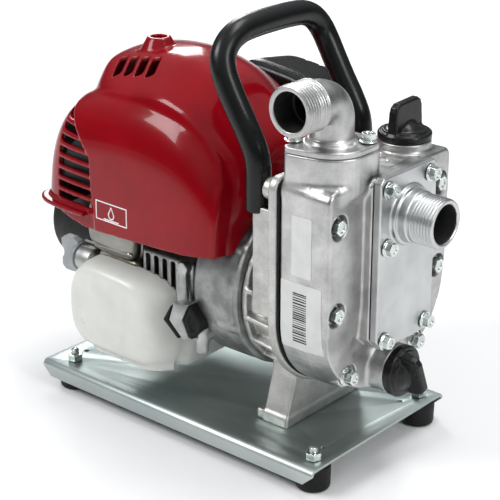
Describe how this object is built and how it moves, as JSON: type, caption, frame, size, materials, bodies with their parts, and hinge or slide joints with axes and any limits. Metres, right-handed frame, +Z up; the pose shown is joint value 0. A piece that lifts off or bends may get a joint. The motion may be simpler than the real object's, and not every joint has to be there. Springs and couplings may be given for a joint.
{
  "type": "centrifugal water pump",
  "caption": "Portable petrol-engine centrifugal water pump on a bent steel base plate with rubber feet, carry handle, threaded suction port and discharge elbow.",
  "frame": {"origin": "centre of the overall box, on the plane that the feet stand on", "axes": "+X along the crankshaft from engine to pump, towards the suction port; +Z up; -Y is the side with the fuel tank and the discharge mouth"},
  "size_m": [0.33, 0.209, 0.3008],
  "materials": {
    "zinc_plate": "zinc plated sheet, faintly blue and yellow",
    "black_rubber": "matte black rubber",
    "plated_steel": "bright zinc plated fasteners",
    "cast_aluminium": "die cast, satin, slightly mottled",
    "machined_aluminium": "machined",
    "dark_steel": "bare and heat-tinted steel",
    "black_plastic": "fine grained black moulding",
    "red_plastic": "gloss red moulding",
    "tank_plastic": "translucent white blow moulding",
    "gray_plastic": "gray moulding",
    "ceramic_white": "glazed ceramic"
  },
  "bodies": {
    "root": {"base_plate": "zinc_plate", "foot_front_right": "black_rubber", "foot_rear_right": "black_rubber", "foot_front_left": "black_rubber", "foot_rear_left": "black_rubber", "casing_seal": "black_rubber", "cover_gasket": "black_rubber", "mechanical_seal": "black_rubber", "carry_handle": "black_rubber", "foot_nut_front_right": "plated_steel", "foot_nut_rear_right": "plated_steel", "foot_nut_front_left": "plated_steel", "foot_nut_rear_left": "plated_steel", "casing_bolt_1": "plated_steel", "casing_bolt_2": "plated_steel", "casing_bolt_3": "plated_steel", "casing_bolt_4": "plated_steel", "casing_bolt_5": "plated_steel", "casing_bolt_6": "plated_steel", "cover_bolt_1": "plated_steel", "cover_bolt_2": "plated_steel", "cover_bolt_3": "plated_steel", "cover_bolt_4": "plated_steel", "cover_bolt_5": "plated_steel", "cover_bolt_6": "plated_steel", "elbow_bolt_1": "plated_steel", "elbow_bolt_2": "plated_steel", "pump_bracket": "cast_aluminium", "pump_casing": "cast_aluminium", "suction_cover": "cast_aluminium", "discharge_elbow": "cast_aluminium", "fan_housing": "cast_aluminium", "crankcase": "cast_aluminium", "cylinder": "cast_aluminium", "carburetor": "machined_aluminium", "muffler": "dark_steel", "air_cleaner_cover": "black_plastic", "recoil_housing": "black_plastic", "volute": "black_plastic", "top_cover": "red_plastic", "fuel_tank": "tank_plastic", "spark_plug": "ceramic_white"},
    "rotor": {"crank_drive_half": "dark_steel", "crank_starter_half": "dark_steel", "flywheel_fan": "machined_aluminium", "pump_shaft": "dark_steel", "impeller": "machined_aluminium"},
    "piston_body": {"piston": "machined_aluminium"},
    "rod_body": {"connecting_rod": "dark_steel"},
    "priming_cap_body": {"priming_cap": "black_plastic"},
    "drain_plug_body": {"drain_plug": "black_plastic"},
    "fuel_cap_body": {"fuel_cap": "black_plastic"},
    "oil_cap_body": {"oil_cap": "gray_plastic"},
    "flap_body": {"check_valve_flap": "black_rubber"},
    "choke_body": {"choke_lever": "black_plastic"},
    "throttle_body": {"throttle_lever": "dark_steel"},
    "primer_body": {"primer_bulb": "black_rubber"},
    "switch_body": {"stop_switch": "black_plastic"},
    "reel_body": {"recoil_reel": "gray_plastic"},
    "grip_body": {"starter_grip": "black_plastic"}
  },
  "joints": [
    {"name": "rotor_turn", "type": "hinge", "parent": "root", "child": "rotor", "pos_m": [0.011, -0.0255, 0.1125], "axis": [1, 0, 0], "continuous": true},
    {"name": "piston_travel", "type": "slide", "parent": "root", "child": "piston_body", "axis": [0, 0, 1], "range_m": [-0.026, 0]},
    {"name": "rod_swing", "type": "hinge", "parent": "piston_body", "child": "rod_body", "pos_m": [-0.039, -0.0255, 0.1755], "axis": [1, 0, 0], "range_deg": [-14, 14]},
    {"name": "priming_cap_turn", "type": "hinge", "parent": "root", "child": "priming_cap_body", "pos_m": [0.102, 0.0155, 0.22], "axis": [0, 0, 1], "range_deg": [0, 360]},
    {"name": "drain_plug_turn", "type": "hinge", "parent": "root", "child": "drain_plug_body", "pos_m": [0.136, -0.0255, 0.071], "axis": [1, 0, 0], "range_deg": [0, 360]},
    {"name": "fuel_cap_turn", "type": "hinge", "parent": "root", "child": "fuel_cap_body", "pos_m": [-0.081, 0.0225, 0.088], "axis": [0, 0, 1], "range_deg": [0, 360]},
    {"name": "oil_cap_turn", "type": "hinge", "parent": "root", "child": "oil_cap_body", "pos_m": [-0.115, -0.0785, 0.103], "axis": [-1, 0, 0], "range_deg": [0, 360]},
    {"name": "check_valve_swing", "type": "hinge", "parent": "root", "child": "flap_body", "pos_m": [0.1265, -0.0255, 0.1964], "axis": [0, 1, 0], "range_deg": [0, 30]},
    {"name": "choke_turn", "type": "hinge", "parent": "root", "child": "choke_body", "pos_m": [-0.046, 0.0245, 0.172], "axis": [1, 0, 0], "range_deg": [-45, 0]},
    {"name": "throttle_turn", "type": "hinge", "parent": "root", "child": "throttle_body", "pos_m": [-0.002, 0.0245, 0.16], "axis": [1, 0, 0], "range_deg": [0, 45], "stiffness_Nm_per_rad": 0.02},
    {"name": "primer_push", "type": "slide", "parent": "root", "child": "primer_body", "axis": [0, 0, 1], "range_m": [0, 0.004], "stiffness_N_per_m": 400},
    {"name": "stop_switch_rock", "type": "hinge", "parent": "root", "child": "switch_body", "pos_m": [0.01, 0.036, 0.199], "axis": [1, 0, 0], "range_deg": [-8, 8]},
    {"name": "starter_pull", "type": "slide", "parent": "root", "child": "grip_body", "axis": [0, 1, 0], "range_m": [0, 0.6], "stiffness_N_per_m": 15},
    {"name": "reel_turn", "type": "hinge", "parent": "root", "child": "reel_body", "pos_m": [-0.149, -0.0255, 0.1125], "axis": [1, 0, 0], "range_deg": [0, 1720]}
  ],
  "couplings": [
    {"joint": "reel_turn", "follows": "starter_pull", "rad_per_m": 47}
  ]
}
